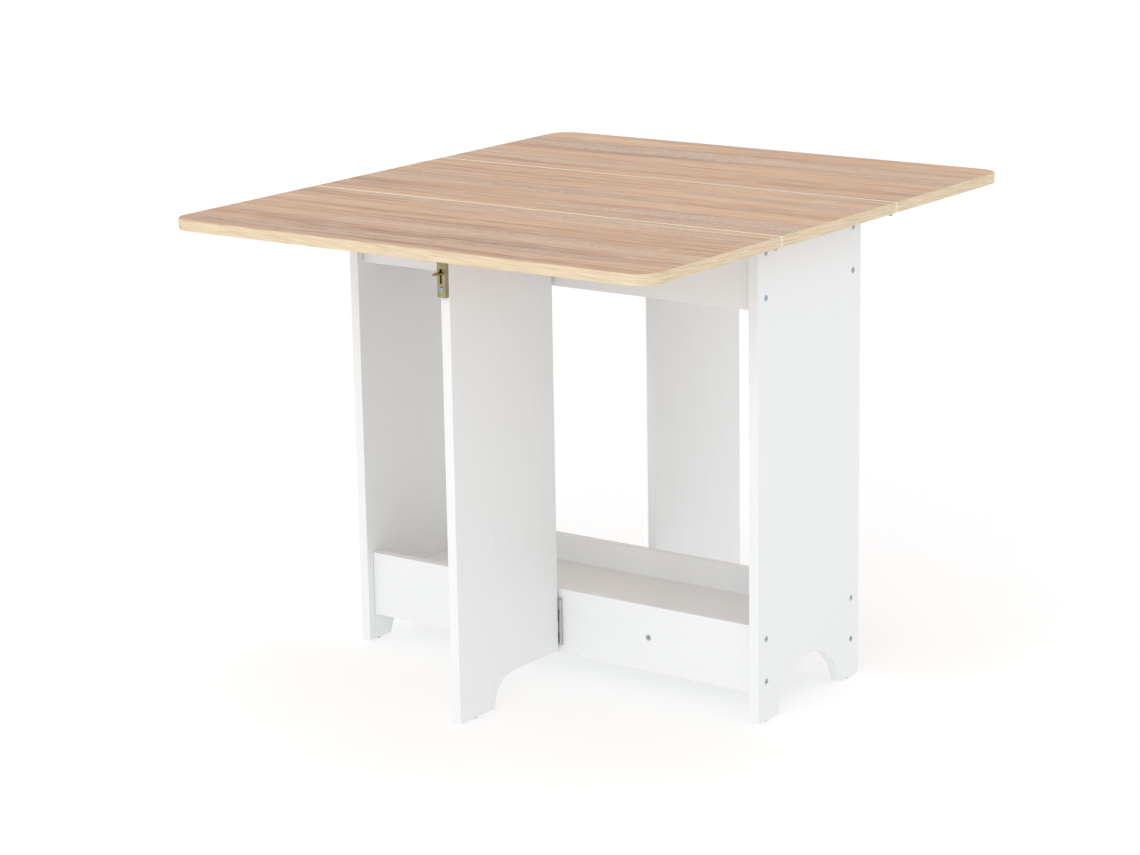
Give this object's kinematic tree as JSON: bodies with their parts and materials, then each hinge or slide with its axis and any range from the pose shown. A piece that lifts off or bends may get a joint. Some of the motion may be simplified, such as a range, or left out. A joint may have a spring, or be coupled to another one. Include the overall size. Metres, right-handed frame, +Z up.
{
  "type": "gateleg table",
  "caption": "Extending dining table: a slim shelved base with two swinging gate legs, each latched under a hinged leaf. White boards under a pale oak-pattern top, shown open.",
  "frame": {"origin": "on the floor, under the middle of the tabletop", "axes": "+X along the rails and the seams of the top; +Y towards the back leaf, so the front gate and leaf point to -Y; +Z up"},
  "size_m": [0.86, 1, 0.745],
  "materials": {
    "white_laminate": "satin white melamine over particleboard, banded edges",
    "oak_laminate": "matt oak-pattern melamine over particleboard, pale banded edges",
    "zinc_steel": "clear zinc plate",
    "yellow_zinc_steel": "yellow zinc plate",
    "grey_nylon": "moulded grey nylon"
  },
  "bodies": {
    "base": {"centre_top": "oak_laminate", "left_end_panel": "white_laminate", "right_end_panel": "white_laminate", "shelf": "white_laminate", "front_lower_rail": "white_laminate", "front_upper_rail": "white_laminate", "back_lower_rail": "white_laminate", "back_upper_rail": "white_laminate", "left_front_lower_1_screw": "zinc_steel", "left_front_lower_2_screw": "zinc_steel", "left_front_upper_1_screw": "zinc_steel", "left_front_upper_2_screw": "zinc_steel", "left_back_lower_1_screw": "zinc_steel", "left_back_lower_2_screw": "zinc_steel", "left_back_upper_1_screw": "zinc_steel", "left_back_upper_2_screw": "zinc_steel", "right_front_lower_1_screw": "zinc_steel", "right_front_lower_2_screw": "zinc_steel", "right_front_upper_1_screw": "zinc_steel", "right_front_upper_2_screw": "zinc_steel", "right_back_lower_1_screw": "zinc_steel", "right_back_lower_2_screw": "zinc_steel", "right_back_upper_1_screw": "zinc_steel", "right_back_upper_2_screw": "zinc_steel", "shelf_left_screw": "zinc_steel", "shelf_right_screw": "zinc_steel", "left_front_glide": "grey_nylon", "left_back_glide": "grey_nylon", "right_front_glide": "grey_nylon", "right_back_glide": "grey_nylon", "front_lower_hinge_rail_half": "zinc_steel", "front_upper_hinge_rail_half": "zinc_steel", "back_lower_hinge_rail_half": "zinc_steel", "back_upper_hinge_rail_half": "zinc_steel", "front_lower_hinge_pin": "zinc_steel", "front_upper_hinge_pin": "zinc_steel", "back_lower_hinge_pin": "zinc_steel", "back_upper_hinge_pin": "zinc_steel", "front_leaf_left_hinge_inner": "zinc_steel", "front_leaf_right_hinge_inner": "zinc_steel", "back_leaf_left_hinge_inner": "zinc_steel", "back_leaf_right_hinge_inner": "zinc_steel"},
    "front_gate": {"front_gate": "white_laminate", "front_gate_glide": "grey_nylon", "front_latch_case": "yellow_zinc_steel", "front_lower_hinge_gate_half": "zinc_steel", "front_upper_hinge_gate_half": "zinc_steel"},
    "front_latch": {"front_latch_bolt": "yellow_zinc_steel"},
    "front_leaf": {"front_leaf": "oak_laminate", "front_leaf_left_hinge_outer": "zinc_steel", "front_leaf_right_hinge_outer": "zinc_steel"},
    "back_gate": {"back_gate": "white_laminate", "back_gate_glide": "grey_nylon", "back_latch_case": "yellow_zinc_steel", "back_lower_hinge_gate_half": "zinc_steel", "back_upper_hinge_gate_half": "zinc_steel"},
    "back_latch": {"back_latch_bolt": "yellow_zinc_steel"},
    "back_leaf": {"back_leaf": "oak_laminate", "back_leaf_left_hinge_outer": "zinc_steel", "back_leaf_right_hinge_outer": "zinc_steel"}
  },
  "joints": [
    {"name": "front_gate_swing", "type": "hinge", "parent": "base", "child": "front_gate", "pos_m": [0.0109, -0.1334, 0], "axis": [0, 0, 1], "range_deg": [0, 90]},
    {"name": "front_leaf_lift", "type": "hinge", "parent": "base", "child": "front_leaf", "pos_m": [0, -0.1625, 0.7261], "axis": [-1, 0, 0], "range_deg": [0, 2.5]},
    {"name": "front_latch_slide", "type": "slide", "parent": "front_gate", "child": "front_latch", "axis": [0, 0, -1], "range_m": [-0.0045, 0.014]},
    {"name": "back_gate_swing", "type": "hinge", "parent": "base", "child": "back_gate", "pos_m": [-0.0109, 0.1334, 0], "axis": [0, 0, 1], "range_deg": [0, 90]},
    {"name": "back_leaf_lift", "type": "hinge", "parent": "base", "child": "back_leaf", "pos_m": [0, 0.1625, 0.7261], "axis": [1, 0, 0], "range_deg": [0, 2.5]},
    {"name": "back_latch_slide", "type": "slide", "parent": "back_gate", "child": "back_latch", "axis": [0, 0, -1], "range_m": [-0.0045, 0.014]}
  ]
}
